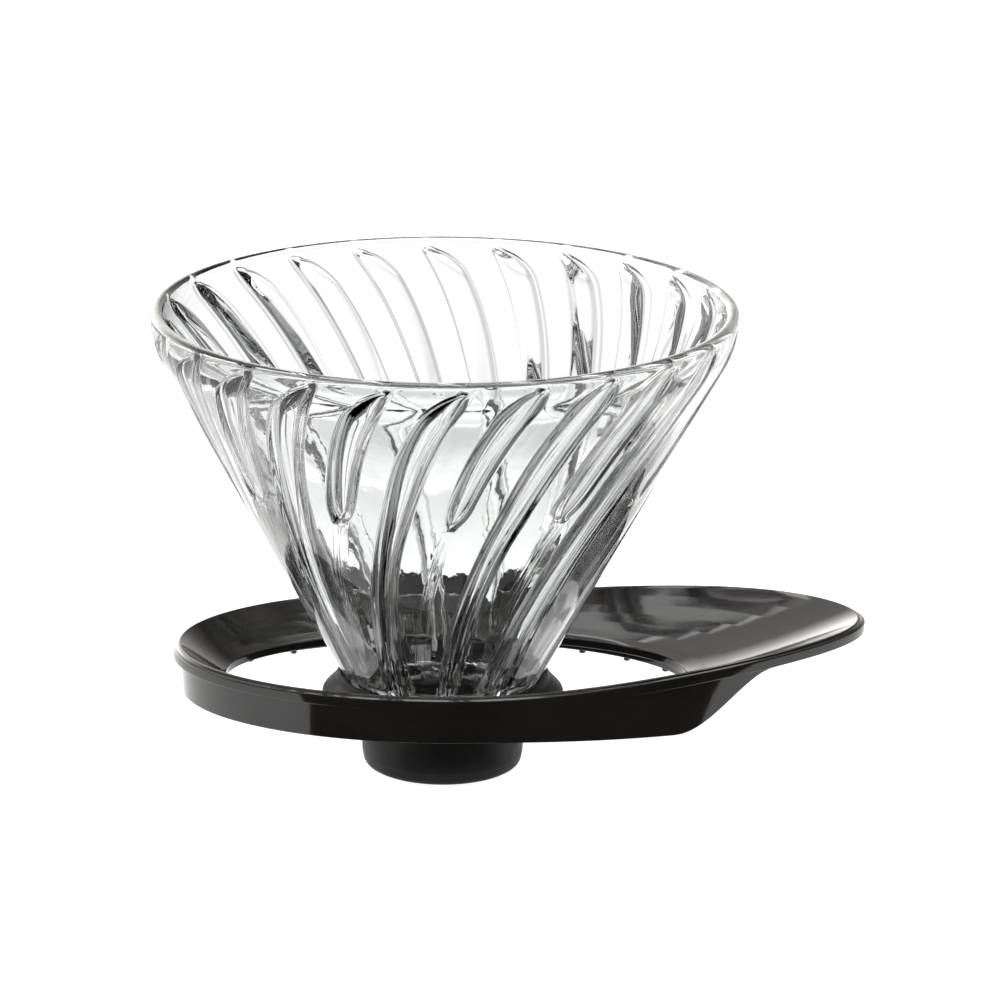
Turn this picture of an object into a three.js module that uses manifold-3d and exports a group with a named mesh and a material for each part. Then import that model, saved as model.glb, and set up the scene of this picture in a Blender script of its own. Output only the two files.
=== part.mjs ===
// Pour over dripper: a ribbed glass cone with a threaded neck, held in a moulded base by a screw collar.
// Millimetres, +Z up. The collar stands on z = 0, and +X points along the handle.
import * as THREE from "three";
import { ParametricGeometry } from "three/addons/geometries/ParametricGeometry.js";
import { mergeVertices } from "three/addons/utils/BufferGeometryUtils.js";
import Module from "manifold-3d";

const wasm = await Module();
wasm.setup();

// Driving dimensions
const height = 94.8;
const rimRadius = 58;
const handleReach = 84.6;
const touchGap = 0.3;
const roundSegments = 48;

// The cone stands off centre, so that the rim and the handle tip lie equally far from the origin.
const coneAxisX = (rimRadius - handleReach) / 2;

// Glass cone
const coneSlope = 0.54;
const coneFootZ = 15.3;
const coneFootRadius = 18;
const coneWall = 3.6;
const rimThickness = 2.6;
const rimBend = 9;
const boreRadius = 9.8;
const neckRadius = 12.2;
const neckEndZ = 1.9;
const boreTopZ = 17;

// Ribs: every second one stops part way down. Each is a ridge inside and a shallow flute outside.
const ribCount = 24;
const columnsPerRib = 3;
const ribTopZ = 92.4;
const ribFullZ = 87;
const shortRibEndZ = 63.3;
const shortRibFadeZ = 72;
const ribCrestSlope = 0.577;
const fluteDepth = 0.8;
const ribPhase = THREE.MathUtils.degToRad(5.6);
const ribTwistStart = THREE.MathUtils.degToRad(54);
const ribTwistEnd = THREE.MathUtils.degToRad(20);
const twistHeight = 80;

// Thread, right-handed
const threadPitch = 4;
const threadHeight = 1.1;
const threadStepsPerTurn = 24;
const threadRootWidth = 2.2;
const threadCrestWidth = 1.1;
const glassThreadZ = 4;
const collarThreadZ = 3.6;

// Base
const skirtFootZ = 15.4;
const leftReach = 54.2;
const halfDepth = 34.8;
const windowHalfLength = 46.25;
const windowHalfDepth = 24.6;
const windowCentreX = 2.75;
const windowEdgeZ = 18.8;
const windowWall = 1.6;
const lipLeftZ = 25.15;
const lipRightZ = 30.95;
const plateThickness = 2;
const wallCentreX = 0.4;
const wallHalfLength = 51.2;
const wallHalfDepth = 30.6;
const wallThickness = 2.2;

// Seat and collar
const hubRimZ = 19.3;
const hubFloorZ = 13.8;
const hubFootZ = 12.2;
const passageRadius = 13.9;
const collarRadius = 16.5;
const collarTopZ = hubFootZ - touchGap;

const glass = new THREE.MeshStandardMaterial({ color: 0xe6ecec, roughness: 0.03, metalness: 0 });
const glossBlack = new THREE.MeshStandardMaterial({ color: 0x12110f, roughness: 0.12, metalness: 0 });
const mattBlack = new THREE.MeshStandardMaterial({ color: 0x1b1b1a, roughness: 0.55, metalness: 0 });
const silicone = new THREE.MeshStandardMaterial({ color: 0xd9dcd8, roughness: 0.6, metalness: 0 });

function weld(geometry) {
  geometry.deleteAttribute("normal");
  geometry.deleteAttribute("uv");
  return mergeVertices(geometry, 1e-4);
}

function toSolid(geometry) {
  const welded = weld(geometry);
  const mesh = new wasm.Mesh({
    numProp: 3,
    vertProperties: new Float32Array(welded.attributes.position.array),
    triVerts: new Uint32Array(welded.index.array),
  });
  return new wasm.Manifold(mesh);
}

function toGeometry(solid) {
  const mesh = solid.getMesh();
  const geometry = new THREE.BufferGeometry();
  geometry.setAttribute("position", new THREE.BufferAttribute(new Float32Array(mesh.vertProperties), 3));
  geometry.setIndex(new THREE.BufferAttribute(new Uint32Array(mesh.triVerts), 1));
  geometry.computeVertexNormals();
  return geometry;
}

function addPart(group, name, geometry, material) {
  const mesh = new THREE.Mesh(geometry, material);
  mesh.name = name;
  mesh.position.x = coneAxisX;
  group.add(mesh);
}

// A closed ring of sections: pointAt(column, station, target) gives each point, and both counts wrap round.
function ringGeometry(columns, stations, pointAt) {
  const place = (u, v, target) => {
    const column = Math.round(u * columns) % columns;
    const station = Math.round(v * stations) % stations;
    pointAt(column, station, target);
  };
  return new ParametricGeometry(place, columns, stations);
}

function latheSolid(points, segments) {
  const outline = points.map(([radius, z]) => new THREE.Vector2(radius, z));
  outline.push(outline[0].clone());
  const geometry = new THREE.LatheGeometry(outline, segments);
  geometry.rotateX(Math.PI / 2);
  return toSolid(geometry);
}

// Lists the points of a quarter-ellipse bend between two points, where the first leaves along the radius.
function bend(fromPoint, toPoint, steps) {
  const points = [];
  for (let i = 0; i <= steps; i += 1) {
    const angle = (i / steps) * (Math.PI / 2);
    const radius = fromPoint[0] + (toPoint[0] - fromPoint[0]) * Math.sin(angle);
    const z = toPoint[1] + (fromPoint[1] - toPoint[1]) * Math.cos(angle);
    points.push([radius, z]);
  }
  return points;
}

// One helical ridge with a four-sided section, which rises out of its wall and sinks back at both ends.
function helicalRidge({ wallRadius, crestRadius, startZ, turns, startAngle }) {
  const steps = Math.round(turns * threadStepsPerTurn);
  const fadeSteps = threadStepsPerTurn / 6;
  const minimumRise = 0.12;
  const positions = [];
  const index = [];
  for (let i = 0; i <= steps; i += 1) {
    const turn = i / threadStepsPerTurn;
    const angle = startAngle + turn * 2 * Math.PI;
    const z = startZ + turn * threadPitch;
    const rise = Math.max(minimumRise, Math.min(1, i / fadeSteps, (steps - i) / fadeSteps));
    const crest = wallRadius + (crestRadius - wallRadius) * rise;
    const corners = [
      [wallRadius, -threadRootWidth / 2],
      [crest, -threadCrestWidth / 2],
      [crest, threadCrestWidth / 2],
      [wallRadius, threadRootWidth / 2],
    ];
    for (const [radius, offset] of corners) {
      positions.push(radius * Math.cos(angle), radius * Math.sin(angle), z + offset);
    }
  }
  for (let i = 0; i < steps; i += 1) {
    for (let side = 0; side < 4; side += 1) {
      const a = i * 4 + side;
      const b = i * 4 + ((side + 1) % 4);
      index.push(a, b, b + 4, a, b + 4, a + 4);
    }
  }
  const last = steps * 4;
  index.push(0, 2, 1, 0, 3, 2);
  index.push(last, last + 1, last + 2, last, last + 2, last + 3);
  if (crestRadius > wallRadius) {
    index.reverse();
  }
  const geometry = new THREE.BufferGeometry();
  geometry.setAttribute("position", new THREE.Float32BufferAttribute(positions, 3));
  geometry.setIndex(index);
  return toSolid(geometry);
}

// Glass cone ---------------------------------------------------------------------------------------------

function outerConeRadius(z) {
  return coneFootRadius + coneSlope * (z - coneFootZ);
}

// How far the ribs have turned about the axis at a height, counted from the rim.
function ribTurn(z) {
  const depth = THREE.MathUtils.clamp((height - z) / twistHeight, 0, 1);
  return ribPhase - ribTwistStart * depth + ribTwistEnd * depth * depth;
}

function ribStrength(rib, z) {
  const top = 1 - THREE.MathUtils.smoothstep(z, ribFullZ, ribTopZ);
  const isShort = rib % 2 === 1;
  const end = isShort ? THREE.MathUtils.smoothstep(z, shortRibEndZ, shortRibFadeZ) : 1;
  return top * end;
}

// The closed outline of the glass wall: up the outside, over the rim, down the inside and round the neck end.
function glassStations() {
  const rimBendZ = height - rimBend;
  const neckRound = 0.8;
  const shoulderRound = 1.2;
  const stations = [];
  const add = (radius, z, face) => stations.push({ radius, z, face });
  add(neckRadius - neckRound, neckEndZ, "plain");
  add(neckRadius, neckEndZ + neckRound, "plain");
  add(neckRadius, coneFootZ - neckRound, "plain");
  add(neckRadius + neckRound, coneFootZ, "plain");
  add(coneFootRadius - shoulderRound, coneFootZ, "plain");
  add(outerConeRadius(coneFootZ + shoulderRound), coneFootZ + shoulderRound, "plain");
  const coneStart = 19;
  const coneRows = 8;
  for (let i = 0; i <= coneRows; i += 1) {
    const z = THREE.MathUtils.lerp(coneStart, rimBendZ, i / coneRows);
    add(outerConeRadius(z), z, "outer");
  }
  for (const [radius, z] of rimArc(rimBendZ, 3)) {
    add(radius, z, "outer");
  }
  add(rimRadius, height - 1.1, "plain");
  add(rimRadius - rimThickness * 0.22, height - 0.25, "plain");
  add(rimRadius - rimThickness * 0.5, height, "plain");
  add(rimRadius - rimThickness * 0.78, height - 0.25, "plain");
  add(rimRadius - rimThickness, height - 1.1, "plain");
  for (const [radius, z] of rimArc(rimBendZ, 3).reverse()) {
    const wall = THREE.MathUtils.mapLinear(z, rimBendZ, height, coneWall, rimThickness);
    add(radius - wall, z, "inner");
  }
  const innerFoot = boreTopZ + 3;
  for (let i = 0; i <= coneRows; i += 1) {
    const z = THREE.MathUtils.lerp(rimBendZ, innerFoot, i / coneRows);
    add(outerConeRadius(z) - coneWall, z, "inner");
  }
  add(boreRadius + 3.6, boreTopZ + 1, "inner");
  add(boreRadius, boreTopZ - 1, "plain");
  add(boreRadius, neckEndZ + neckRound, "plain");
  add(boreRadius + neckRound, neckEndZ, "plain");
  return stations;
}

// The outside bends from the cone's slope to upright at the rim.
function rimArc(startZ, steps) {
  const startRadius = outerConeRadius(startZ);
  const curve = new THREE.QuadraticBezierCurve(
    new THREE.Vector2(startRadius, startZ),
    new THREE.Vector2(rimRadius, startZ + (rimRadius - startRadius) / coneSlope),
    new THREE.Vector2(rimRadius, height - 1.1),
  );
  const points = [];
  for (let i = 1; i < steps; i += 1) {
    const point = curve.getPoint(i / steps);
    points.push([point.x, point.y]);
  }
  return points;
}

// Radius of the rib crests, which together carry the paper cone.
function crestRadius(z) {
  return rimRadius - rimThickness - ribCrestSlope * (height - z);
}

function glassRadius(station, column) {
  if (station.face === "plain") {
    return station.radius;
  }
  const rib = Math.floor(column / columnsPerRib);
  const onCrest = column % columnsPerRib === 0;
  const strength = onCrest ? ribStrength(rib, station.z) : 0;
  if (station.face === "outer") {
    return station.radius - fluteDepth * strength;
  }
  const crest = Math.min(station.radius, Math.max(crestRadius(station.z), boreRadius + 0.4));
  return THREE.MathUtils.lerp(station.radius, crest, strength);
}

function glassCone() {
  const stations = glassStations();
  const columns = ribCount * columnsPerRib;
  const cone = ringGeometry(columns, stations.length, (column, index, target) => {
    const station = stations[index];
    const angle = (column / columns) * 2 * Math.PI - Math.PI / 2 + ribTurn(station.z);
    const radius = glassRadius(station, column);
    target.set(radius * Math.cos(angle), radius * Math.sin(angle), station.z);
  });
  const ridge = helicalRidge({
    wallRadius: neckRadius - 0.4,
    crestRadius: neckRadius + threadHeight,
    startZ: glassThreadZ,
    turns: 1.75,
    startAngle: 0,
  });
  return toGeometry(toSolid(cone).add(ridge));
}

// Base ---------------------------------------------------------------------------------------------------

const handleCurve = new THREE.CubicBezierCurve(
  new THREE.Vector2(0, halfDepth),
  new THREE.Vector2(50, halfDepth),
  new THREE.Vector2(handleReach, 15.7),
  new THREE.Vector2(handleReach, 0),
);

// A point of the lip outline, for an angle counted from the handle tip.
function lipPoint(angle) {
  const quarter = Math.PI / 2;
  const folded = Math.abs(angle);
  const side = Math.sign(angle) || 1;
  if (folded > quarter) {
    return new THREE.Vector2(leftReach * Math.cos(folded), side * halfDepth * Math.sin(folded));
  }
  const point = handleCurve.getPoint(1 - folded / quarter);
  return new THREE.Vector2(point.x, side * point.y);
}

function windowPoint(angle) {
  return new THREE.Vector2(
    windowCentreX + windowHalfLength * Math.cos(angle),
    windowHalfDepth * Math.sin(angle),
  );
}

// The lip is level round the ring and climbs along the handle.
function lipHeight(x) {
  const climbStartX = 3;
  const climbEndX = 88;
  return THREE.MathUtils.lerp(lipLeftZ, lipRightZ, THREE.MathUtils.smoothstep(x, climbStartX, climbEndX));
}

// The skirt keeps a level foot round the ring and sweeps up to the handle's edge.
function skirtHeight(x) {
  const sweepStartX = 47.5;
  const sweepEndX = 67.5;
  const handleEdge = lipHeight(x) - 3;
  return THREE.MathUtils.lerp(skirtFootZ, handleEdge, THREE.MathUtils.smoothstep(x, sweepStartX, sweepEndX));
}

// The base's section at one angle, as a list of points in the plane from the window to the lip.
function baseSection(angle) {
  const inner = windowPoint(angle);
  const outer = lipPoint(angle);
  const width = inner.distanceTo(outer);
  const lipZ = lipHeight(outer.x);
  const footZ = skirtHeight(outer.x);
  const dish = (t) => windowEdgeZ + (lipZ - windowEdgeZ) * Math.pow(t, 1.3);
  const lipInset = 1.4;
  const lipFace = 2.6;
  const skirtInset = 1.5;
  const skirtDraft = 0.4;
  const skirtThickness = 2;
  const section = [];
  const add = (fromInner, z) => section.push({ fromInner, z });
  add(0, windowEdgeZ - 0.3);
  add(0.4, windowEdgeZ);
  for (const t of [0.2, 0.4, 0.6, 0.8, 0.93]) {
    add(t * (width - lipInset), dish(t));
  }
  add(width - lipInset, lipZ);
  add(width - 0.5, lipZ - 0.3);
  add(width, lipZ - 0.75);
  add(width, lipZ - lipFace);
  add(width - skirtInset, lipZ - lipFace - 0.1);
  add(width - skirtInset - skirtDraft, footZ);
  add(width - skirtInset - skirtDraft - skirtThickness, footZ);
  const underEdge = width - skirtInset - skirtThickness;
  const underT = underEdge / (width - lipInset);
  add(underEdge, dish(underT) - plateThickness);
  for (const t of [0.6, 0.3]) {
    add(t * (width - lipInset), dish(t) - plateThickness);
  }
  add(0, windowEdgeZ - windowWall);
  return { inner, outer, width, section };
}

function baseRing() {
  const columns = 64;
  const stations = baseSection(0).section.length;
  const geometry = ringGeometry(columns, stations, (column, station, target) => {
    const angle = Math.PI - (column / columns) * 2 * Math.PI;
    const { inner, outer, width, section } = baseSection(angle);
    const { fromInner, z } = section[station];
    const x = THREE.MathUtils.lerp(inner.x, outer.x, fromInner / width);
    const y = THREE.MathUtils.lerp(inner.y, outer.y, fromInner / width);
    target.set(x, y, z);
  });
  return toSolid(geometry);
}

// Volcano-shaped hub that the cone's foot stands in.
function hub() {
  const wallGap = 0.45;
  const seatRadius = coneFootRadius + 0.3;
  return latheSolid([
    [passageRadius, hubFootZ],
    [19.4, hubFootZ],
    [20, hubFootZ + 0.6],
    [20.2, 14.6],
    [24.2, 14.6],
    [24.2, 15.2],
    [23.1, 16.2],
    [22.2, 17.3],
    [21.5, 18.4],
    [21.2, hubRimZ - 0.15],
    [20.9, hubRimZ],
    [outerConeRadius(hubRimZ) + wallGap, hubRimZ - 0.2],
    [outerConeRadius(coneFootZ + 1.2) + wallGap, coneFootZ + 1.2],
    [seatRadius, coneFootZ],
    [seatRadius, hubFloorZ],
    [passageRadius, hubFloorZ],
  ], roundSegments);
}

// Web that joins the hub to the ring, in front or behind.
function hubBridge(side) {
  const halfWidth = 18;
  const reach = 26;
  const innerRadius = 21.6;
  const thickness = 2.2;
  const cornerAngle = Math.acos(halfWidth / innerRadius);
  const shape = new THREE.Shape();
  shape.moveTo(halfWidth, reach);
  shape.lineTo(-halfWidth, reach);
  shape.absarc(0, 0, innerRadius, Math.PI - cornerAngle, cornerAngle, true);
  const geometry = new THREE.ExtrudeGeometry(shape, {
    depth: thickness,
    bevelEnabled: false,
    curveSegments: 10,
  });
  geometry.translate(0, 0, windowEdgeZ - 0.5 - thickness);
  geometry.rotateZ(side > 0 ? 0 : Math.PI);
  return toSolid(geometry);
}

// Oval wall under the ring, inside the skirt, which closes the ring off from the handle.
function ovalWall() {
  const outline = new THREE.Shape();
  outline.absellipse(wallCentreX, 0, wallHalfLength, wallHalfDepth, 0, 2 * Math.PI);
  const inside = new THREE.Path();
  inside.absellipse(
    wallCentreX, 0, wallHalfLength - wallThickness, wallHalfDepth - wallThickness, 0, 2 * Math.PI,
  );
  outline.holes.push(inside);
  const geometry = new THREE.ExtrudeGeometry(outline, {
    depth: windowEdgeZ - 0.3 - skirtFootZ,
    bevelEnabled: false,
    curveSegments: 64,
  });
  geometry.translate(0, 0, skirtFootZ);
  return toSolid(geometry);
}

// Small pegs under the oval wall hold the ring off a cup's rim, so that air can get out.
function ventPegs() {
  const pegCount = 25;
  const pegRadius = 0.7;
  const pegHeight = 1.4;
  const pegDrop = 0.8;
  const pegPhase = 0.4;
  const track = new THREE.EllipseCurve(
    wallCentreX, 0, wallHalfLength - wallThickness / 2, wallHalfDepth - wallThickness / 2,
  );
  const pegs = [];
  for (let i = 0; i < pegCount; i += 1) {
    const centre = track.getPointAt((i + pegPhase) / pegCount);
    const peg = new THREE.CylinderGeometry(pegRadius, pegRadius, pegHeight, 6);
    peg.rotateX(Math.PI / 2);
    peg.translate(centre.x, centre.y, skirtFootZ - pegDrop + pegHeight / 2);
    pegs.push(toSolid(peg));
  }
  return pegs;
}

function base() {
  let solid = baseRing().add(hub()).add(ovalWall());
  for (const side of [1, -1]) {
    solid = solid.add(hubBridge(side));
  }
  for (const peg of ventPegs()) {
    solid = solid.add(peg);
  }
  return toGeometry(solid);
}

// Seat gasket and screw collar -----------------------------------------------------------------------------

function seatGasket() {
  const low = hubFloorZ + touchGap;
  const high = coneFootZ - touchGap;
  const outside = coneFootRadius - 0.2;
  const round = 0.2;
  return toGeometry(latheSolid([
    [passageRadius, low + round],
    [passageRadius + round, low],
    [outside - round, low],
    [outside, low + round],
    [outside, high - round],
    [outside - round, high],
    [passageRadius + round, high],
    [passageRadius, high - round],
  ], roundSegments));
}

function screwCollar() {
  const threadRoot = neckRadius + threadHeight + touchGap + 0.1;
  const ledgeZ = neckEndZ - touchGap;
  const outletRadius = boreRadius + 0.4;
  const body = latheSolid([
    [outletRadius, 0.4],
    [outletRadius + 0.4, 0],
    ...bend([13, 0], [16.1, 3], 4),
    [collarRadius, collarTopZ - 0.5],
    [collarRadius - 0.5, collarTopZ],
    [threadRoot + 0.5, collarTopZ],
    [threadRoot, collarTopZ - 0.5],
    [threadRoot, ledgeZ],
    [outletRadius, ledgeZ],
  ], roundSegments);
  const ridge = helicalRidge({
    wallRadius: threadRoot + 0.5,
    crestRadius: neckRadius + touchGap + 0.1,
    startZ: collarThreadZ,
    turns: 1.6,
    startAngle: 2 * Math.PI * (collarThreadZ - glassThreadZ - threadPitch / 2) / threadPitch,
  });
  return toGeometry(body.add(ridge));
}

const dripper = new THREE.Group();
addPart(dripper, "glass_cone", glassCone(), glass);
addPart(dripper, "base", base(), glossBlack);
addPart(dripper, "seat_gasket", seatGasket(), silicone);
addPart(dripper, "screw_collar", screwCollar(), mattBlack);

export default dripper;
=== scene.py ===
import math

import bmesh
import bpy
import numpy as np
from mathutils import Euler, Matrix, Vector


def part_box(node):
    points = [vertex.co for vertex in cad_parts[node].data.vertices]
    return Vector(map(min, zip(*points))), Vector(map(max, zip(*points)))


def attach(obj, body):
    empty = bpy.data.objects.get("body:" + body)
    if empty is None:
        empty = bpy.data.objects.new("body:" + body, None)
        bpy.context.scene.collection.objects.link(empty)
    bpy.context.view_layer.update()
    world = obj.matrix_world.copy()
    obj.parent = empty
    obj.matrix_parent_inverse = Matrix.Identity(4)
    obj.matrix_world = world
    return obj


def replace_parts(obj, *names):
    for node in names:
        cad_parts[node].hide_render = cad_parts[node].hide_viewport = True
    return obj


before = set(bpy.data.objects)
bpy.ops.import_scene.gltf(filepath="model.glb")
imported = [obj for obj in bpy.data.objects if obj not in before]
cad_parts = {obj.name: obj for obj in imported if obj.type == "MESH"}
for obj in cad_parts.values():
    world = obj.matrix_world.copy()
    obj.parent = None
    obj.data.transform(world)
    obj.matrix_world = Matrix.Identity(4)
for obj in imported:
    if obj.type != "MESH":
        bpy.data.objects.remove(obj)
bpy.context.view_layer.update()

MM = 0.001

# Driving sizes, in metres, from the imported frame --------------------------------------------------

glass_low, glass_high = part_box("glass_cone")
base_low, base_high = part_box("base")
collar_low, collar_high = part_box("screw_collar")
gasket_low, gasket_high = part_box("seat_gasket")

AXIS_X = (glass_low.x + glass_high.x) / 2
HEIGHT = glass_high.z
RIM_RADIUS = 58 * MM
HANDLE_REACH = base_high.x - AXIS_X
LEFT_REACH = AXIS_X - base_low.x
COLLAR_RADIUS = (collar_high.x - collar_low.x) / 2
COLLAR_TOP = collar_high.z
NECK_END = glass_low.z

# Glass: the wall's slope and thickness, and the ribs on it
CONE_SLOPE = 0.54
CONE_FOOT_Z = 15.3 * MM
CONE_FOOT_RADIUS = 18 * MM
CONE_WALL = 3.6 * MM
RIM_THICKNESS = 2.7 * MM
RIM_BEND = 9 * MM
BORE_RADIUS = 9.8 * MM
NECK_RADIUS = 12.2 * MM
RIB_COUNT = 24
RIB_LEAST = 0.9 * MM  # half width below which a rib fades out
RIB_TOP_Z = HEIGHT - 2.2 * MM
SHORT_RIB_END_Z = HEIGHT - 32.5 * MM
RIB_CREST_SLOPE = 0.577
FLUTE_DEPTH = 0.9 * MM
RIB_TIP_LENGTH = 6 * MM
RIB_TOP_TURN = math.radians(5.6)
RIB_TURN = math.radians(54)
RIB_UNTURN = math.radians(20)
THREAD_PITCH = 4 * MM
THREAD_HEIGHT = 1.1 * MM

# Base
SKIRT_FOOT_Z = 15.4 * MM
HALF_DEPTH = 34.8 * MM
WINDOW_CENTRE_X = 2.75 * MM
WINDOW_HALF_LENGTH = 46.25 * MM
WINDOW_HALF_DEPTH = 24.6 * MM
WINDOW_EDGE_Z = 18.8 * MM
LIP_LEFT_Z = 25.15 * MM
LIP_RIGHT_Z = 30.95 * MM
WALL_CENTRE_X = 0.4 * MM
WALL_HALF_LENGTH = 51.2 * MM
WALL_HALF_DEPTH = 30.6 * MM
WALL_THICKNESS = 2.2 * MM
PEG_COUNT = 25
PEG_PHASE = 0.4
LIP_CLIMB_START_X = 3 * MM
LIP_CLIMB_END_X = 88 * MM
SWEEP_START_X = 47.5 * MM
SWEEP_END_X = 67.5 * MM
HANDLE_SIDE_X = 50 * MM
HANDLE_TIP_Y = 15.7 * MM
HUB_RIM_Z = 19.3 * MM
HUB_FLOOR_Z = 13.8 * MM
HUB_FOOT_Z = 12.2 * MM
PASSAGE_RADIUS = 13.9 * MM


# Mesh helpers -------------------------------------------------------------------------------------

def smoothstep(low, high, value):
    t = np.clip((value - low) / (high - low), 0, 1)
    return t * t * (3 - 2 * t)


def mix(a, b, t):
    return a + (b - a) * t


def ring_mesh(name, points):
    """A closed ring from a grid of points [section, column, xyz], which wraps round both ways."""
    rows, columns = points.shape[:2]
    row = np.arange(rows)[:, None]
    column = np.arange(columns)[None, :]
    next_row = (row + 1) % rows
    next_column = (column + 1) % columns
    quads = np.stack([
        row * columns + column,
        row * columns + next_column,
        next_row * columns + next_column,
        next_row * columns + column,
    ], axis=-1).reshape(-1, 4)
    mesh = bpy.data.meshes.new(name)
    mesh.from_pydata(points.reshape(-1, 3).tolist(), [], quads.tolist())
    mesh.polygons.foreach_set("use_smooth", [True] * len(mesh.polygons))
    mesh.update()
    piece = bpy.data.objects.new(name, mesh)
    bpy.context.scene.collection.objects.link(piece)
    return piece


def rounded_outline(corners, steps=5):
    """Samples a closed outline of (x, z, fillet radius) corners. Each corner gives steps + 1 points."""
    samples = []
    count = len(corners)
    for i, (x, z, radius) in enumerate(corners):
        here = np.array([x, z])
        before = np.array(corners[i - 1][:2]) - here
        after = np.array(corners[(i + 1) % count][:2]) - here
        reach_before = np.linalg.norm(before)
        reach_after = np.linalg.norm(after)
        before = before / reach_before
        after = after / reach_after
        half_angle = math.acos(float(np.clip(np.dot(before, after), -1, 1))) / 2
        cut = min(radius / math.tan(half_angle), 0.48 * reach_before, 0.48 * reach_after)
        start = here + before * cut
        end = here + after * cut
        for step in range(steps + 1):
            t = step / steps
            samples.append((1 - t) ** 2 * start + 2 * t * (1 - t) * here + t * t * end)
    return np.array(samples)


def turned_points(outline, columns):
    """Revolves an outline of (radius, z) samples about the cone axis."""
    angles = np.linspace(0, 2 * math.pi, columns, endpoint=False)
    radius = outline[:, 0][:, None]
    points = np.empty((len(outline), columns, 3))
    points[..., 0] = AXIS_X + radius * np.cos(angles)
    points[..., 1] = radius * np.sin(angles)
    points[..., 2] = outline[:, 1][:, None]
    return points


def finish_piece(piece, body, material):
    piece.data.materials.append(material)
    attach(piece, body)
    return piece


# Glass cone ---------------------------------------------------------------------------------------

def outer_cone_radius(z):
    return CONE_FOOT_RADIUS + CONE_SLOPE * (z - CONE_FOOT_Z)


def rib_turn(z):
    """How far the ribs have turned about the axis at a height, in radians."""
    depth = np.clip((HEIGHT - z) / (80 * MM), 0, 1)
    return RIB_TOP_TURN - RIB_TURN * depth + RIB_UNTURN * depth * depth


def rib_full_width(z, is_short):
    """Half the width of a rib before its rounded top is cut: widest at the top, narrowing downwards."""
    if not is_short:
        return mix(2.0 * MM, 3.3 * MM, smoothstep(48 * MM, 84 * MM, z))
    above_end = np.clip((z - SHORT_RIB_END_Z) / (5 * MM), 0, 1)
    tail = np.sqrt(1 - (1 - above_end) ** 2)
    taper = np.clip((z - SHORT_RIB_END_Z) / (RIB_TOP_Z - SHORT_RIB_END_Z), 0, 1)
    return tail * mix(1.9 * MM, 3.4 * MM, taper ** 0.7)


def rib_half_width(z, is_short):
    """Half the width of a rib, with its rounded top."""
    below_top = np.clip((RIB_TOP_Z - z) / RIB_TIP_LENGTH, 0, 1)
    return rib_full_width(z, is_short) * np.sqrt(1 - (1 - below_top) ** 2)


def rib_borders(z, radius, is_short):
    """Angles of a rib's two borders from its own centre: the leading one stays straight up to the tip."""
    width = np.maximum(rib_half_width(z, is_short), RIB_LEAST)
    full = np.maximum(rib_full_width(z, is_short), RIB_LEAST)
    lean = 2.2 * MM * smoothstep(62 * MM, 90 * MM, z)
    leading = (mix(width, full, 0.8) - lean) / radius
    return leading - 2 * width / radius, leading


def rib_strength(z, is_short):
    """How much of a rib is left where it runs out: 1 along it, 0 above its top and below a short one."""
    width = rib_half_width(z, is_short)
    return smoothstep(0, RIB_LEAST, width) * np.clip(width / RIB_LEAST, 0, 1)


def rib_section(across):
    """Height of a rib, from 1 on its crest to 0 at its edges, for a distance in half widths."""
    return np.clip(1 - across ** 2, 0, 1) ** 0.62


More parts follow.
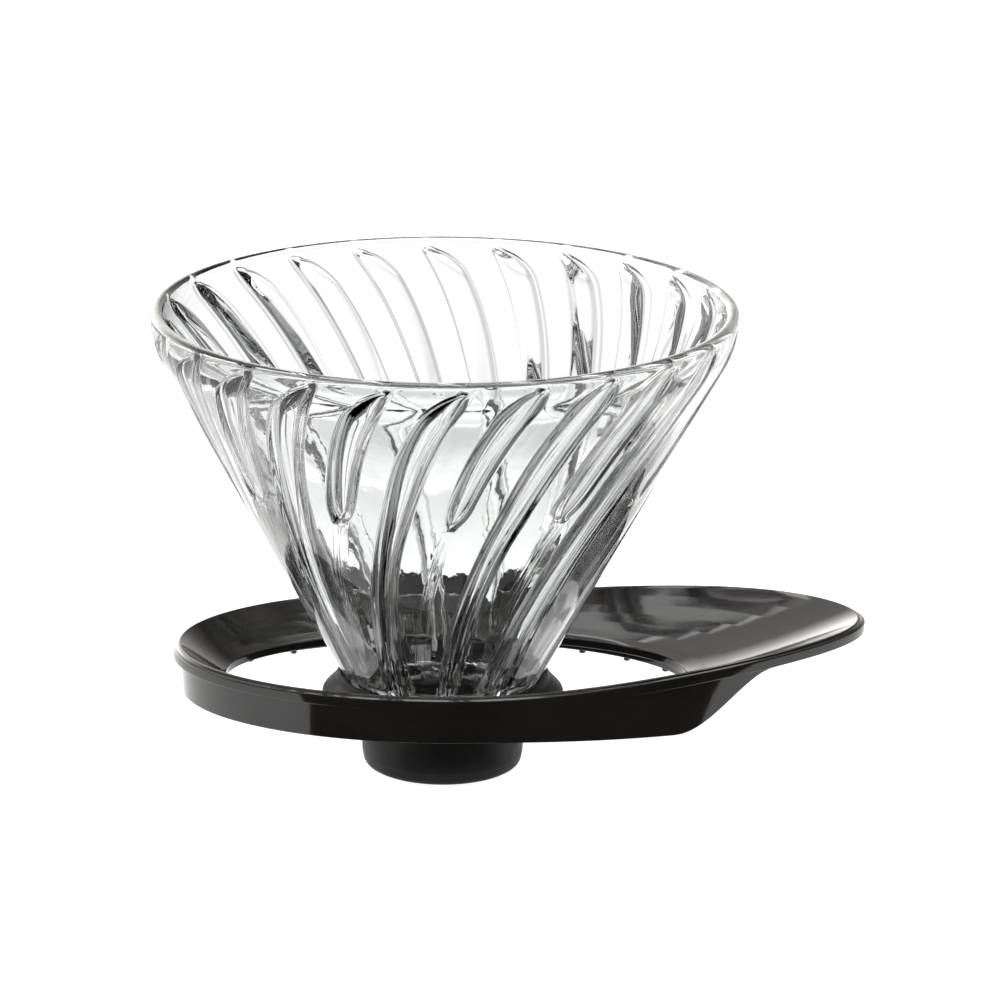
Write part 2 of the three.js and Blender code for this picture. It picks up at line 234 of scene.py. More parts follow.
def glass_outline():
    """Samples of the wall's outline with a face name each: outside, rim, inside, neck end."""
    bend_z = HEIGHT - RIM_BEND
    bend_radius = outer_cone_radius(bend_z)
    rows = []

    def line(start, end, count, face):
        for i in range(count):
            t = i / count
            rows.append((mix(start[0], end[0], t), mix(start[1], end[1], t), face))

    def curve(start, control, end, count, face):
        for i in range(count):
            t = i / count
            radius = (1 - t) ** 2 * start[0] + 2 * t * (1 - t) * control[0] + t * t * end[0]
            z = (1 - t) ** 2 * start[1] + 2 * t * (1 - t) * control[1] + t * t * end[1]
            rows.append((radius, z, face))

    fillet = 0.8 * MM
    foot_fillet = 1.2 * MM
    shoulder = outer_cone_radius(CONE_FOOT_Z + foot_fillet)
    curve((NECK_RADIUS - fillet, NECK_END), (NECK_RADIUS, NECK_END),
          (NECK_RADIUS, NECK_END + fillet), 5, "plain")
    line((NECK_RADIUS, NECK_END + fillet), (NECK_RADIUS, CONE_FOOT_Z - fillet), 48, "thread")
    curve((NECK_RADIUS, CONE_FOOT_Z - fillet), (NECK_RADIUS, CONE_FOOT_Z),
          (NECK_RADIUS + fillet, CONE_FOOT_Z), 5, "plain")
    line((NECK_RADIUS + fillet, CONE_FOOT_Z), (CONE_FOOT_RADIUS - foot_fillet, CONE_FOOT_Z), 3, "plain")
    curve((CONE_FOOT_RADIUS - foot_fillet, CONE_FOOT_Z),
          (CONE_FOOT_RADIUS - 0.2 * foot_fillet, CONE_FOOT_Z),
          (shoulder, CONE_FOOT_Z + foot_fillet), 5, "plain")
    line((shoulder, CONE_FOOT_Z + foot_fillet), (bend_radius, bend_z), 96, "outer")
    rim_top = HEIGHT - 1.2 * MM
    bend_control = (RIM_RADIUS, bend_z + (RIM_RADIUS - bend_radius) / CONE_SLOPE)
    curve((bend_radius, bend_z), bend_control, (RIM_RADIUS, rim_top), 16, "outer")
    half = RIM_THICKNESS / 2
    curve((RIM_RADIUS, rim_top), (RIM_RADIUS, HEIGHT), (RIM_RADIUS - half, HEIGHT), 6, "plain")
    curve((RIM_RADIUS - half, HEIGHT), (RIM_RADIUS - 2 * half, HEIGHT),
          (RIM_RADIUS - 2 * half, rim_top), 6, "plain")
    turn_z = HEIGHT - 5.5 * MM
    turn_radius = outer_cone_radius(turn_z) - CONE_WALL
    turn_control = (RIM_RADIUS - 2 * half, turn_z + (RIM_RADIUS - 2 * half - turn_radius) / CONE_SLOPE)
    curve((RIM_RADIUS - 2 * half, rim_top), turn_control, (turn_radius, turn_z), 12, "inner")
    foot_z = 20.5 * MM
    foot_radius = outer_cone_radius(foot_z) - CONE_WALL
    line((turn_radius, turn_z), (foot_radius, foot_z), 92, "inner")
    curve((foot_radius, foot_z), (BORE_RADIUS + 1.6 * MM, 17 * MM),
          (BORE_RADIUS, 14.5 * MM), 12, "inner")
    line((BORE_RADIUS, 14.5 * MM), (BORE_RADIUS, NECK_END + fillet), 6, "plain")
    curve((BORE_RADIUS, NECK_END + fillet), (BORE_RADIUS, NECK_END),
          (BORE_RADIUS + fillet, NECK_END), 5, "plain")
    line((BORE_RADIUS + fillet, NECK_END), (NECK_RADIUS - fillet, NECK_END), 1, "plain")
    return rows


def thread_rise(angle, z, start_z, turns, start_angle):
    """Height of a right-hand thread ridge, from 0 to 1, at an angle and height on a neck."""
    turn = (angle - start_angle) / (2 * math.pi)
    along = (z - start_z) / THREAD_PITCH
    lap = np.round(along - turn)
    offset = np.abs(along - turn - lap) * THREAD_PITCH
    ridge = 1 - smoothstep(0.5 * MM, 1.1 * MM, offset)
    position = turn + lap
    ends = smoothstep(0, 0.12, position) * (1 - smoothstep(turns - 0.12, turns, position))
    return ridge * ends


def glass_columns():
    """Column places within one rib's share, in half widths of the rib, then across the valley beside it."""
    inside = np.array([-1, -0.9, -0.7, -0.38, 0, 0.38, 0.7, 0.9, 1])
    valley = np.array([0.07, 0.35, 0.65, 0.93])
    return inside, valley


def mark_ribs(piece, row_count):
    """Stores how close each corner is to the border of a rib, as a mask for the painted shade of dark rib
    outlines, and a map that runs along the ribs.
    """
    inside, valley = glass_columns()
    # Columns on a rib's border carry the painted shade of the dark rib outlines; it fades where a rib runs
    # out.
    border = np.concatenate([np.abs(inside) >= 0.9, np.zeros(len(valley), dtype=bool)])
    columns = RIB_COUNT * len(border)
    rows = glass_outline()
    height = np.array([row[1] for row in rows])
    is_ribbed = np.array([row[2] in ("outer", "inner") for row in rows])
    strengths = [rib_strength(height, rib % 2 == 1) * is_ribbed for rib in range(RIB_COUNT)]
    near = np.concatenate([border[None, :] * strength[:, None] for strength in strengths], axis=1)
    store = piece.data.attributes.new("painted_rib_outline", "FLOAT", "POINT")
    store.data.foreach_set("value", near.astype(np.float32).reshape(-1))
    flow = piece.data.uv_layers.new(name="flow")
    column = np.arange(columns)[None, :, None] + np.array([0, 1, 1, 0])[None, None, :]
    row = np.arange(row_count)[:, None, None] + np.array([0, 0, 1, 1])[None, None, :]
    places = np.empty((row_count, columns, 4, 2), dtype=np.float32)
    places[..., 0] = column / columns
    places[..., 1] = row / row_count
    flow.data.foreach_set("uv", places.reshape(-1))


def glass_points():
    rows = glass_outline()
    radius = np.array([row[0] for row in rows])
    height = np.array([row[1] for row in rows])
    faces = [row[2] for row in rows]
    pitch = 2 * math.pi / RIB_COUNT
    inside, valley = glass_columns()
    per_rib = len(inside) + len(valley)
    angles = np.empty((len(rows), RIB_COUNT * per_rib))
    lift = np.zeros_like(angles)
    for rib in range(RIB_COUNT):
        is_short = rib % 2 == 1
        low, high = rib_borders(height, radius, is_short)
        next_low, _ = rib_borders(height, radius, not is_short)
        strength = rib_strength(height, is_short)
        first = rib * per_rib
        for i, across in enumerate(inside):
            angles[:, first + i] = rib * pitch + mix(low, high, (across + 1) / 2)
            lift[:, first + i] = rib_section(across) * strength
        gap = pitch + next_low - high
        for i, across in enumerate(valley):
            angles[:, first + len(inside) + i] = rib * pitch + high + across * gap
    angles += (rib_turn(height) - math.pi / 2)[:, None]
    radii = np.repeat(radius[:, None], angles.shape[1], axis=1)
    is_outer = np.array([face == "outer" for face in faces])
    is_inner = np.array([face == "inner" for face in faces])
    is_thread = np.array([face == "thread" for face in faces])
    radii[is_outer] -= FLUTE_DEPTH * lift[is_outer]
    crest = RIM_RADIUS - RIM_THICKNESS - RIB_CREST_SLOPE * (HEIGHT - height)
    crest = np.minimum(radius, np.maximum(crest, BORE_RADIUS + 0.3 * MM))
    radii[is_inner] -= ((radius - crest)[:, None] * lift)[is_inner]
    rise = thread_rise(angles, height[:, None], 4 * MM, 1.75, 0)
    radii[is_thread] += THREAD_HEIGHT * rise[is_thread]
    points = np.empty(angles.shape + (3,))
    points[..., 0] = AXIS_X + radii * np.cos(angles)
    points[..., 1] = radii * np.sin(angles)
    points[..., 2] = height[:, None]
    return points


# Base ---------------------------------------------------------------------------------------------

def lip_points(angles):
    """The lip outline about the cone axis, for angles counted from the handle tip, from -pi to pi."""
    quarter = math.pi / 2
    folded = np.abs(angles)
    side = np.where(angles < 0, -1.0, 1.0)
    t = np.clip(1 - folded / quarter, 0, 1)
    ahead_x = 3 * (1 - t) ** 2 * t * HANDLE_SIDE_X + (3 * (1 - t) * t ** 2 + t ** 3) * HANDLE_REACH
    ahead_y = ((1 - t) ** 3 + 3 * (1 - t) ** 2 * t) * HALF_DEPTH + 3 * (1 - t) * t ** 2 * HANDLE_TIP_Y
    behind = folded > quarter
    x = np.where(behind, LEFT_REACH * np.cos(folded), ahead_x)
    y = np.where(behind, HALF_DEPTH * np.sin(folded), ahead_y)
    return np.stack([x, side * y], axis=-1)


def lip_height(x):
    return mix(LIP_LEFT_Z, LIP_RIGHT_Z, smoothstep(LIP_CLIMB_START_X, LIP_CLIMB_END_X, x))


def skirt_height(x):
    edge = lip_height(x) - 3.0 * MM
    return mix(SKIRT_FOOT_Z, edge, smoothstep(SWEEP_START_X, SWEEP_END_X, x))


def base_section(width, lip_z, foot_z):
    """The moulding's section as (distance from the window, z, fillet) corners, window edge first."""
    def dish(t):
        return WINDOW_EDGE_Z + (lip_z - WINDOW_EDGE_Z) * t ** 1.3

    bevel = 1.5 * MM
    flat = width - bevel
    corners = [(0, WINDOW_EDGE_Z - 1.7 * MM, 0.2 * MM), (0, WINDOW_EDGE_Z, 0.35 * MM)]
    for t in (0.12, 0.25, 0.4, 0.55, 0.7, 0.84, 0.94):
        corners.append((t * flat, dish(t), 1.5 * MM))
    corners += [
        (flat, lip_z, 0.3 * MM),
        (flat + 0.55 * MM, lip_z - 0.1 * MM, 0.12 * MM),
        (flat + 0.8 * MM, lip_z - 0.42 * MM, 0.1 * MM),
        (width, lip_z - 0.62 * MM, 0.3 * MM),
        (width, lip_z - 2.6 * MM, 0.3 * MM),
        (width - 1.5 * MM, lip_z - 2.7 * MM, 0.3 * MM),
        (width - 1.9 * MM, foot_z - 0.1 * MM, 0.3 * MM),
        (width - 3.9 * MM, foot_z - 0.1 * MM, 0.3 * MM),
    ]
    under = (width - 3.7 * MM) / flat
    corners.append((width - 3.7 * MM, dish(under) - 2 * MM, 0.5 * MM))
    for t in (0.55, 0.3):
        corners.append((t * flat, dish(t) - 2 * MM, 1 * MM))
    return corners


def base_ring_points(columns=288):
    angles = np.linspace(math.pi, -math.pi, columns, endpoint=False)
    outer = lip_points(angles)
    inner = np.stack([
        WINDOW_CENTRE_X + WINDOW_HALF_LENGTH * np.cos(angles),
        WINDOW_HALF_DEPTH * np.sin(angles),
    ], axis=-1)
    sections = []
    for (ix, iy), (ox, oy) in zip(inner, outer):
        width = math.hypot(ox - ix, oy - iy)
        outline = rounded_outline(base_section(width, float(lip_height(ox)), float(skirt_height(ox))), 3)
        share = outline[:, 0] / width
        sections.append(np.stack([
            AXIS_X + mix(ix, ox, share),
            mix(iy, oy, share),
            outline[:, 1],
        ], axis=-1))
    return np.stack(sections, axis=1)


def oval_wall_points(columns=192):
    """The oval wall under the ring that carries the vent pegs."""
    angles = np.linspace(0, 2 * math.pi, columns, endpoint=False)
    outline = rounded_outline([
        (WALL_THICKNESS, SKIRT_FOOT_Z, 0.3 * MM),
        (WALL_THICKNESS, WINDOW_EDGE_Z - 0.3 * MM, 0.1 * MM),
        (0, WINDOW_EDGE_Z - 0.3 * MM, 0.1 * MM),
        (0, SKIRT_FOOT_Z, 0.3 * MM),
    ], 3)[::-1]
    inset = outline[:, 0][:, None]
    points = np.empty((len(outline), columns, 3))
    points[..., 0] = AXIS_X + WALL_CENTRE_X + (WALL_HALF_LENGTH - inset) * np.cos(angles)
    points[..., 1] = (WALL_HALF_DEPTH - inset) * np.sin(angles)
    points[..., 2] = outline[:, 1][:, None]
    return points


HUB_OUTLINE = [
    (PASSAGE_RADIUS, HUB_FOOT_Z, 0.3 * MM),
    (20.0 * MM, HUB_FOOT_Z, 0.8 * MM),
    (20.2 * MM, 14.6 * MM, 0.3 * MM),
    (24.3 * MM, 14.6 * MM, 0.25 * MM),
    (24.2 * MM, 15.1 * MM, 0.25 * MM),
    (22.7 * MM, 16.6 * MM, 2.4 * MM),
    (21.6 * MM, 18.0 * MM, 2.4 * MM),
    (21.1 * MM, HUB_RIM_Z, 0.12 * MM),
    (20.5 * MM, HUB_RIM_Z, 0.2 * MM),
    (18.9 * MM, 16.4 * MM, 0.6 * MM),
    (18.3 * MM, 15.3 * MM, 0.6 * MM),
    (18.3 * MM, HUB_FLOOR_Z, 0.3 * MM),
    (PASSAGE_RADIUS, HUB_FLOOR_Z, 0.2 * MM),
]


def plate(name, outline, low, high, bevel):
    """A flat plate from a list of (x, y) points about the cone axis, with bevelled edges."""
    shape = bmesh.new()
    corners = [shape.verts.new((AXIS_X + x, y, low)) for x, y in outline]
    face = shape.faces.new(corners)
    grown = bmesh.ops.extrude_face_region(shape, geom=[face])
    moved = [item for item in grown["geom"] if isinstance(item, bmesh.types.BMVert)]
    bmesh.ops.translate(shape, verts=moved, vec=(0, 0, high - low))
    bmesh.ops.bevel(shape, geom=shape.edges[:], offset=bevel, segments=2, affect="EDGES", profile=0.5)
    bmesh.ops.recalc_face_normals(shape, faces=shape.faces[:])
    mesh = bpy.data.meshes.new(name)
    shape.to_mesh(mesh)
    shape.free()
    piece = bpy.data.objects.new(name, mesh)
    bpy.context.scene.collection.objects.link(piece)
    return piece


def hub_web(name, side):
    """Web that joins the hub to the ring, in front or behind."""
    half_width = 18 * MM
    reach = 26 * MM
    inner_radius = 21.6 * MM
    start = math.asin(half_width / inner_radius)
    angles = np.linspace(-start, start, 11)
    outline = [(inner_radius * math.sin(a), side * inner_radius * math.cos(a)) for a in angles]
    outline += [(half_width, side * reach), (-half_width, side * reach)]
    top = WINDOW_EDGE_Z - 0.5 * MM
    return plate(name, outline, top - 2.2 * MM, top, 0.15 * MM)


def ellipse_places(count, phase, half_length, half_depth):
    """Points spaced evenly along an ellipse."""
    angles = np.linspace(0, 2 * math.pi, 2001)
    steps = np.hypot(half_length * np.sin(angles), half_depth * np.cos(angles))
    length = np.concatenate([[0], np.cumsum((steps[1:] + steps[:-1]) / 2)])
    wanted = (np.arange(count) + phase) / count * length[-1]
    places = np.interp(wanted, length, angles)
    return np.stack([half_length * np.cos(places), half_depth * np.sin(places)], axis=-1)


def vent_pegs(name):
    """Small round-footed pegs under the oval wall."""
    peg_radius = 0.7 * MM
    peg_foot = SKIRT_FOOT_Z - 0.8 * MM
    outline = [
        (0.02, 0), (0.45, 0.02), (0.8, 0.12), (0.97, 0.3),
        (1, 0.55), (1, 1.6), (0.9, 1.85), (0.02, 1.9),
    ]
    sides = 20
    half = WALL_THICKNESS / 2
    points = ellipse_places(PEG_COUNT, PEG_PHASE, WALL_HALF_LENGTH - half, WALL_HALF_DEPTH - half)
    shape = bmesh.new()
    for x, y in points:
        rings = []
        for share, rise in outline:
            ring = []
            for i in range(sides):
                angle = 2 * math.pi * i / sides
                ring.append(shape.verts.new((
                    AXIS_X + WALL_CENTRE_X + x + share * peg_radius * math.cos(angle),
                    y + share * peg_radius * math.sin(angle),
                    peg_foot + rise * peg_radius,
                )))
            rings.append(ring)
        for lower, upper in zip(rings, rings[1:]):
            for i in range(sides):
                shape.faces.new((lower[i - 1], lower[i], upper[i], upper[i - 1]))
        shape.faces.new(rings[0][::-1])
        shape.faces.new(rings[-1])
    bmesh.ops.recalc_face_normals(shape, faces=shape.faces[:])
    for face in shape.faces:
        face.smooth = True
    mesh = bpy.data.meshes.new(name)
    shape.to_mesh(mesh)
    shape.free()
    piece = bpy.data.objects.new(name, mesh)
    bpy.context.scene.collection.objects.link(piece)
    return piece


# Collar and gasket --------------------------------------------------------------------------------

def collar_points(columns=192):
    thread_root = NECK_RADIUS + THREAD_HEIGHT + 0.4 * MM
    ledge = NECK_END - 0.3 * MM
    outlet = BORE_RADIUS + 0.4 * MM
    outside = rounded_outline([
        (thread_root, COLLAR_TOP, 0.4 * MM),
        (COLLAR_RADIUS, COLLAR_TOP, 0.5 * MM),
        (COLLAR_RADIUS - 0.3 * MM, 2.8 * MM, 1.2 * MM),
        (COLLAR_RADIUS - 0.8 * MM, 0, 2.8 * MM),
        (outlet, 0, 0.35 * MM),
        (outlet, ledge, 0.2 * MM),
        (thread_root, ledge, 0.2 * MM),
    ], 6)
    wall_z = np.linspace(ledge + 0.3 * MM, COLLAR_TOP - 0.6 * MM, 70)
    wall = np.stack([np.full_like(wall_z, thread_root), wall_z], axis=-1)
    outline = np.concatenate([outside, wall])
    points = turned_points(outline, columns)
    angles = np.linspace(0, 2 * math.pi, columns, endpoint=False)[None, :]
    start_z = 3.6 * MM
    start_angle = 2 * math.pi * (3.6 - 4 - 2) / 4
    rise = thread_rise(angles, wall_z[:, None], start_z, 1.6, start_angle)
    radius = thread_root - (THREAD_HEIGHT - 0.05 * MM) * rise
    points[len(outside):, :, 0] = AXIS_X + radius * np.cos(angles)
    points[len(outside):, :, 1] = radius * np.sin(angles)
    return points


def gasket_points():
    low = gasket_low.z
    high = gasket_high.z
    outer = (gasket_high.x - gasket_low.x) / 2
    middle = (low + high) / 2
    outline = rounded_outline([
        (PASSAGE_RADIUS, low, 0.25 * MM),
        (outer, low, 0.25 * MM),
        (outer, high, 0.25 * MM),
        (outer - 1.2 * MM, high, 0.1 * MM),
        (outer - 1.5 * MM, middle + 0.15 * MM, 0.1 * MM),
        (outer - 1.8 * MM, high, 0.1 * MM),
        (PASSAGE_RADIUS, high, 0.25 * MM),
    ], 4)
    return turned_points(outline, 128)


# Materials ----------------------------------------------------------------------------------------

def new_material(name):
    material = bpy.data.materials.new(name)
    material.use_nodes = True
    nodes = material.node_tree.nodes
    shader = nodes["Principled BSDF"]
    place = nodes.new("ShaderNodeTexCoord")
    return material, material.node_tree, shader, place


def noise(tree, place, scale, detail=3.0, roughness=0.5):
    node = tree.nodes.new("ShaderNodeTexNoise")
    node.inputs["Scale"].default_value = scale
    node.inputs["Detail"].default_value = detail
    node.inputs["Roughness"].default_value = roughness
    tree.links.new(place.outputs["Object"], node.inputs["Vector"])
    return node.outputs["Fac"]


def remap(tree, value, low, high, from_low=0.3, from_high=0.7):
    node = tree.nodes.new("ShaderNodeMapRange")
    node.inputs["From Min"].default_value = from_low
    node.inputs["From Max"].default_value = from_high
    node.inputs["To Min"].default_value = low
    node.inputs["To Max"].default_value = high
    tree.links.new(value, node.inputs["Value"])
    return node.outputs["Result"]


def two_colours(tree, value, dark, light):
    node = tree.nodes.new("ShaderNodeValToRGB")
    node.color_ramp.elements[0].position = 0.35
    node.color_ramp.elements[0].color = (*dark, 1)
    node.color_ramp.elements[1].position = 0.65
    node.color_ramp.elements[1].color = (*light, 1)
    tree.links.new(value, node.inputs["Fac"])
    return node.outputs["Color"]


def bump(tree, value, strength, distance, below=None):
    node = tree.nodes.new("ShaderNodeBump")
    node.inputs["Strength"].default_value = strength
    node.inputs["Distance"].default_value = distance
    tree.links.new(value, node.inputs["Height"])
    if below is not None:
        tree.links.new(below, node.inputs["Normal"])
    return node.outputs["Normal"]


def glass_material():
    """Clear pressed glass: painted shade as dark lines along the ribs' borders and as darkening towards
    grazing facets, with flow lines, waviness and specks.
    """
    material, tree, shader, place = new_material("pressed_glass")
    # Base colour from light grey face-on to near black at grazing facets: painted shade for the dark edges
    # that bent light gives on the ribs and rim.
    facing = tree.nodes.new("ShaderNodeLayerWeight")
    facing.inputs["Blend"].default_value = 0.5
    tint_with_painted_edge_shade = tree.nodes.new("ShaderNodeValToRGB")
    stops = tint_with_painted_edge_shade.color_ramp.elements
    stops[0].position = 0.0
    stops[0].color = (0.865, 0.875, 0.87, 1)
    stops[1].position = 1.0
    stops[1].color = (0.14, 0.145, 0.145, 1)
    for position, level in ((0.35, 0.86), (0.58, 0.76), (0.78, 0.5)):
        stop = stops.new(position)
        stop.color = (level * 0.99, level, level * 0.99, 1)
    tree.links.new(facing.outputs["Facing"], tint_with_painted_edge_shade.inputs["Fac"])
    # Painted shade: dark grey multiplied into the base colour along the rib borders, as painted dark rib
    # outlines.
    border = tree.nodes.new("ShaderNodeAttribute")
    border.attribute_name = "painted_rib_outline"
    outline = tree.nodes.new("ShaderNodeMix")
    outline.data_type = "RGBA"
    outline.blend_type = "MULTIPLY"
    outline.inputs["B"].default_value = (0.45, 0.46, 0.46, 1)
    tree.links.new(remap(tree, border.outputs["Fac"], 0.0, 1.0, 0.35, 1.0), outline.inputs["Factor"])
    tree.links.new(tint_with_painted_edge_shade.outputs["Color"], outline.inputs["A"])
    tree.links.new(outline.outputs["Result"], shader.inputs["Base Color"])
    shader.inputs["Roughness"].default_value = 0.0
    shader.inputs["IOR"].default_value = 1.5
    shader.inputs["Transmission Weight"].default_value = 1.0
    stretch = tree.nodes.new("ShaderNodeMapping")
    stretch.inputs["Scale"].default_value = (190, 9, 1)
    tree.links.new(place.outputs["UV"], stretch.inputs["Vector"])
    streak = tree.nodes.new("ShaderNodeTexNoise")
    streak.inputs["Scale"].default_value = 1.0
    streak.inputs["Detail"].default_value = 1.0
    tree.links.new(stretch.outputs["Vector"], streak.inputs["Vector"])
    flow = bump(tree, streak.outputs["Fac"], 0.22, 0.00012)
    wave = bump(tree, noise(tree, place, 90, 2), 0.25, 0.0002, flow)
    speck = bump(tree, noise(tree, place, 700, 2), 0.12, 0.00004, wave)
    tree.links.new(speck, shader.inputs["Normal"])
    return material


def gloss_black_material():
    """Glossy moulded resin with a slight orange peel and faint handling haze."""
    material, tree, shader, place = new_material("gloss_black_resin")
    colour = two_colours(tree, noise(tree, place, 35, 4), (0.0065, 0.006, 0.0055), (0.012, 0.011, 0.010))
    tree.links.new(colour, shader.inputs["Base Color"])
    haze = remap(tree, noise(tree, place, 55, 5, 0.6), 0.07, 0.13)
    tree.links.new(haze, shader.inputs["Roughness"])
    shader.inputs["IOR"].default_value = 1.47
    shader.inputs["Coat Weight"].default_value = 0.25
    shader.inputs["Coat Roughness"].default_value = 0.04
    peel = bump(tree, noise(tree, place, 420, 2), 0.06, 0.00005)
    tree.links.new(peel, shader.inputs["Normal"])
    return material


def matte_black_material():
    """Moulded resin with a fine spark-eroded grain."""
    material, tree, shader, place = new_material("matte_black_resin")
    colour = two_colours(tree, noise(tree, place, 160, 5), (0.006, 0.0058, 0.0056), (0.010, 0.0098, 0.0095))
    tree.links.new(colour, shader.inputs["Base Color"])
    sheen = remap(tree, noise(tree, place, 260, 5), 0.40, 0.54)
    tree.links.new(sheen, shader.inputs["Roughness"])
    shader.inputs["IOR"].default_value = 1.45
    shader.inputs["Specular IOR Level"].default_value = 0.2
    grain = bump(tree, noise(tree, place, 2600, 3, 0.7), 0.35, 0.00006)
    tree.links.new(grain, shader.inputs["Normal"])
    return material


def silicone_material():
    material, tree, shader, place = new_material("pale_silicone")
    colour = two_colours(tree, noise(tree, place, 90, 4), (0.66, 0.68, 0.66), (0.76, 0.78, 0.76))
    tree.links.new(colour, shader.inputs["Base Color"])
    dull = remap(tree, noise(tree, place, 400, 4), 0.42, 0.6)
    tree.links.new(dull, shader.inputs["Roughness"])
    shader.inputs["Subsurface Weight"].default_value = 0.25
    shader.inputs["Subsurface Scale"].default_value = 0.002
    soft = bump(tree, noise(tree, place, 1500, 2), 0.15, 0.00003)
    tree.links.new(soft, shader.inputs["Normal"])
    return material


def floor_material():
    material, tree, shader, place = new_material("pale_floor")
    colour = two_colours(tree, noise(tree, place, 3, 3), (0.54, 0.54, 0.54), (0.56, 0.56, 0.56))
    tree.links.new(colour, shader.inputs["Base Color"])
    rough = remap(tree, noise(tree, place, 40, 3), 0.75, 0.85)
    tree.links.new(rough, shader.inputs["Roughness"])
    shader.inputs["Specular IOR Level"].default_value = 0.0
    shader.inputs["Emission Color"].default_value = (1, 1, 1, 1)
    shader.inputs["Emission Strength"].default_value = 0.95
    return material


def card_material():
    material, tree, shader, place = new_material("dark_card")
    colour = two_colours(tree, noise(tree, place, 5, 3), (0.006, 0.006, 0.006), (0.009, 0.009, 0.009))
    tree.links.new(colour, shader.inputs["Base Color"])
    shader.inputs["Roughness"].default_value = 0.9
    shader.inputs["Specular IOR Level"].default_value = 0.0
    return material


def surround_material():
    """Bright near the table and grey above."""
    material, tree, shader, place = new_material("surround")
    shader.inputs["Base Color"].default_value = (0, 0, 0, 1)
    shader.inputs["Specular IOR Level"].default_value = 0.0
    parts = tree.nodes.new("ShaderNodeSeparateXYZ")
    tree.links.new(place.outputs["Object"], parts.inputs["Vector"])
    shader.inputs["Emission Color"].default_value = (1, 1, 1, 1)
    glow = remap(tree, parts.outputs["Z"], 1.3, 0.36, 0.12, 0.2)
    tree.links.new(glow, shader.inputs["Emission Strength"])
    return material


def glow_material():
    """A lit sheet in soft rings round the object: (distance in metres, brightness)."""
    material, tree, shader, place = new_material("glow_sheet")
    shader.inputs["Base Color"].default_value = (0, 0, 0, 1)
    shader.inputs["Specular IOR Level"].default_value = 0.0
    distance = tree.nodes.new("ShaderNodeVectorMath")
    distance.operation = "LENGTH"
    tree.links.new(place.outputs["Object"], distance.inputs[0])
    bands = tree.nodes.new("ShaderNodeValToRGB")
    stops = bands.color_ramp.elements
    stops[0].position = 0.0
    stops[0].color = (0.26, 0.26, 0.26, 1)
    stops[1].position = 1.0
    stops[1].color = (0.70, 0.70, 0.70, 1)
    rings = (
        (0.113, 0.26), (0.125, 0.84), (0.188, 0.62), (0.191, 0.88),
        (0.235, 0.50), (0.27, 0.60), (0.40, 0.70),
    )
    for position, level in rings:
        stop = stops.new(position)
        stop.color = (level, level, level, 1)
    tree.links.new(distance.outputs["Value"], bands.inputs["Fac"])
    tree.links.new(bands.outputs["Color"], shader.inputs["Emission Color"])
    shader.inputs["Emission Strength"].default_value = 2.0
    return material


# Pieces -------------------------------------------------------------------------------------------

def fix_normals(piece):
    shape = bmesh.new()
    shape.from_mesh(piece.data)
    bmesh.ops.recalc_face_normals(shape, faces=shape.faces[:])
    shape.to_mesh(piece.data)
    shape.free()


glass = glass_material()
gloss_black = gloss_black_material()
matte_black = matte_black_material()
silicone = silicone_material()

cone = ring_mesh("cone_glass", glass_points())
mark_ribs(cone, len(glass_outline()))
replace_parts(finish_piece(cone, "cone_body", glass), "glass_cone")

ring = ring_mesh("base_ring", base_ring_points())
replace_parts(finish_piece(ring, "base_body", gloss_black), "base")

wall = ring_mesh("base_oval_wall", oval_wall_points())
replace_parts(finish_piece(wall, "base_body", gloss_black), "base")

pegs = vent_pegs("base_vent_pegs")
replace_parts(finish_piece(pegs, "base_body", gloss_black), "base")

seat = ring_mesh("base_hub", turned_points(rounded_outline(HUB_OUTLINE, 6), 192))
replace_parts(finish_piece(seat, "base_body", matte_black), "base")

for web_name, web_side in (("base_web_front", -1), ("base_web_back", 1)):
    web = hub_web(web_name, web_side)
    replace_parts(finish_piece(web, "base_body", gloss_black), "base")

collar = ring_mesh("collar_shell", collar_points())
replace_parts(finish_piece(collar, "collar_body", matte_black), "screw_collar")

seal = ring_mesh("gasket_ring", gasket_points())
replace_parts(finish_piece(seal, "base_body", silicone), "seat_gasket")

for turned in (cone, ring, wall, seat, collar, seal):
    fix_normals(turned)


# Stage --------------------------------------------------------------------------------------------

def light_table():
    """A round pale floor that glows a little, so that the object hardly shades it."""
    rings = 12
    sides = 96
    radius = 1.7
    shape = bmesh.new()
    centre = shape.verts.new((0, 0, -0.0002))
    previous = [centre] * sides
    for ring in range(1, rings + 1):
        reach = radius * ring / rings
        current = []
        for i in range(sides):
            angle = 2 * math.pi * i / sides
            current.append(shape.verts.new((reach * math.cos(angle), reach * math.sin(angle), -0.0002)))
        for i in range(sides):
            corners = [previous[i - 1], current[i - 1], current[i], previous[i]]
            if ring == 1:
                corners = [centre, current[i - 1], current[i]]
            shape.faces.new(corners)
        previous = current
    mesh = bpy.data.meshes.new("floor")
    shape.to_mesh(mesh)
    shape.free()
    mesh.materials.append(floor_material())
    floor = bpy.data.objects.new("floor", mesh)
    bpy.context.scene.collection.objects.link(floor)


def soft_box(name, place, target, width, height, power):
    light = bpy.data.lights.new(name, "AREA")
    light.shape = "RECTANGLE"
    light.size = width
    light.size_y = height
    light.energy = power
    lamp = bpy.data.objects.new(name, light)
    lamp.location = place
    lamp.rotation_euler = (Vector(target) - Vector(place)).to_track_quat("-Z", "Y").to_euler()
    bpy.context.scene.collection.objects.link(lamp)


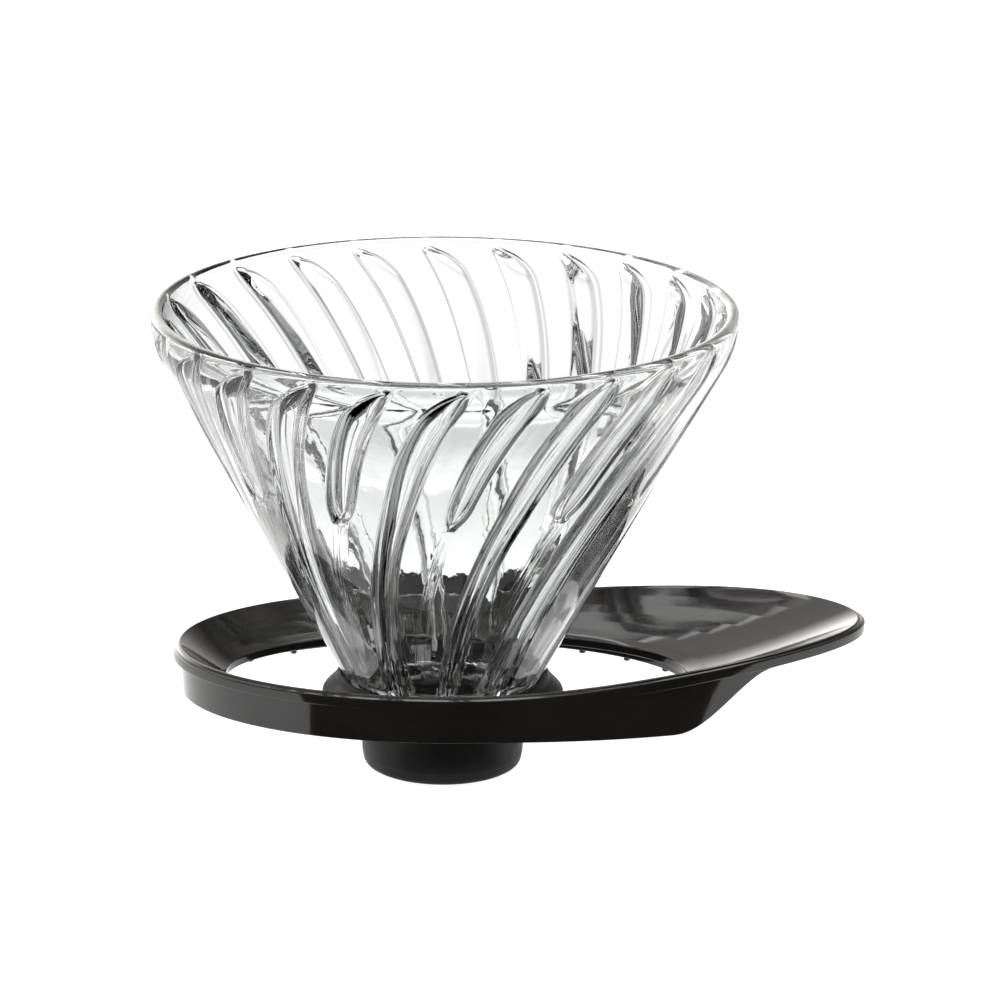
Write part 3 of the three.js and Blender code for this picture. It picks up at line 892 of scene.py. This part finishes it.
def card(name, rows, closed, material):
    """A studio card, which lights or darkens gloss and glass but is not in the picture itself."""
    shape = bmesh.new()
    rings = [[shape.verts.new(place) for place in row] for row in rows]
    for lower, upper in zip(rings, rings[1:]):
        for i in range(0 if closed else 1, len(lower)):
            shape.faces.new((lower[i - 1], lower[i], upper[i], upper[i - 1]))
    mesh = bpy.data.meshes.new(name)
    shape.to_mesh(mesh)
    shape.free()
    mesh.materials.append(material)
    piece = bpy.data.objects.new(name, mesh)
    bpy.context.scene.collection.objects.link(piece)
    piece.visible_camera = False
    piece.visible_diffuse = False
    piece.visible_shadow = False
    return piece


def arc(radius, height, start, end, count):
    angles = np.linspace(start, end, count)
    return [(AXIS_X + radius * math.cos(a), radius * math.sin(a), height) for a in angles]


def front_card(material):
    """Stands and lies in front, so that the front of the skirt stays black."""
    start = -math.pi / 2 - math.radians(43)
    end = -math.pi / 2 + math.radians(58)
    sizes = ((0.022, 0.0008), (0.062, 0.0008), (0.3, 0.002), (0.6, 0.02), (0.8, 0.3), (0.85, 0.7))
    piece = card("front_card", [arc(r, z, start, end, 25) for r, z in sizes], False, material)
    piece.visible_transmission = False


def louvre(material):
    """Low upright rings under the object, so that the lower glass looks dark from low down."""
    full = 2 * math.pi * 95 / 96
    for i, radius in enumerate((0.035, 0.053, 0.071, 0.089, 0.107)):
        rows = [arc(radius, z, 0, full, 96) for z in (0.0002, 0.0061)]
        piece = card("louvre_%d" % (i + 1), rows, True, material)
        piece.visible_glossy = False


def surround(material):
    """Stands behind and beside the light table, so that bent light in the glass turns grey."""
    start = math.radians(-32)
    end = math.radians(223)
    rows = [arc(0.88, z, start, end, 73) for z in (0.0, 0.25, 0.5, 0.75)]
    piece = card("surround", rows, False, material)
    piece.visible_glossy = False


def glow_sheet(material):
    """Lies on the light table round the object: what is seen through the clear parts of the glass."""
    full = 2 * math.pi * 95 / 96
    rows = [arc(r, 0.0003, 0, full, 96) for r in np.linspace(0.02, 0.86, 22)]
    piece = card("glow_sheet", rows, True, material)
    piece.visible_glossy = False


def studio_world():
    """A room with a bright low wall behind the object, brightest at the left, dark in front."""
    world = bpy.data.worlds.new("studio")
    world.use_nodes = True
    tree = world.node_tree
    background = tree.nodes["Background"]
    place = tree.nodes.new("ShaderNodeTexCoord")
    parts = tree.nodes.new("ShaderNodeSeparateXYZ")
    tree.links.new(place.outputs["Generated"], parts.inputs["Vector"])
    low_wall = remap(tree, parts.outputs["Z"], 1.0, 0.16, 0.24, 0.55)
    behind = remap(tree, parts.outputs["Y"], 0.12, 1.0, -0.3, 0.5)
    to_the_left = remap(tree, parts.outputs["X"], 5.5, 1.0, -0.26, 0.10)
    lit = tree.nodes.new("ShaderNodeMath")
    lit.operation = "MULTIPLY"
    tree.links.new(behind, lit.inputs[0])
    tree.links.new(to_the_left, lit.inputs[1])
    wall = tree.nodes.new("ShaderNodeMath")
    wall.operation = "MULTIPLY"
    tree.links.new(low_wall, wall.inputs[0])
    tree.links.new(lit.outputs[0], wall.inputs[1])
    ceiling = remap(tree, parts.outputs["Z"], 0.0, 0.6, 0.55, 0.9)
    level = tree.nodes.new("ShaderNodeMath")
    level.operation = "ADD"
    tree.links.new(wall.outputs[0], level.inputs[0])
    tree.links.new(ceiling, level.inputs[1])
    tree.links.new(level.outputs[0], background.inputs["Strength"])
    background.inputs["Color"].default_value = (1, 0.975, 0.945, 1)
    bpy.context.scene.world = world


def camera_view():
    """Long lens, from the front and above."""
    distance = 0.9147
    above_rim = 0.2397
    depression = math.radians(16.995)
    roll = math.radians(-0.474)
    yaw = math.radians(-0.556)
    camera = bpy.data.objects.new("camera", bpy.data.cameras.new("camera"))
    camera.data.sensor_width = 36
    camera.data.lens = 173.1
    camera.data.clip_end = 50
    camera.location = (AXIS_X, -distance, HEIGHT + above_rim)
    camera.rotation_euler = Euler((math.pi / 2 - depression, roll, yaw), "XYZ")
    bpy.context.scene.collection.objects.link(camera)
    bpy.context.scene.camera = camera


light_table()
dark_card = card_material()
front_card(dark_card)
louvre(dark_card)
surround(surround_material())
glow_sheet(glow_material())
soft_box("top_box", (0, 0.25, 1.0), (0, 0, 0), 0.8, 0.6, 5.0)
studio_world()
camera_view()
bpy.context.scene.view_settings.view_transform = "Standard"
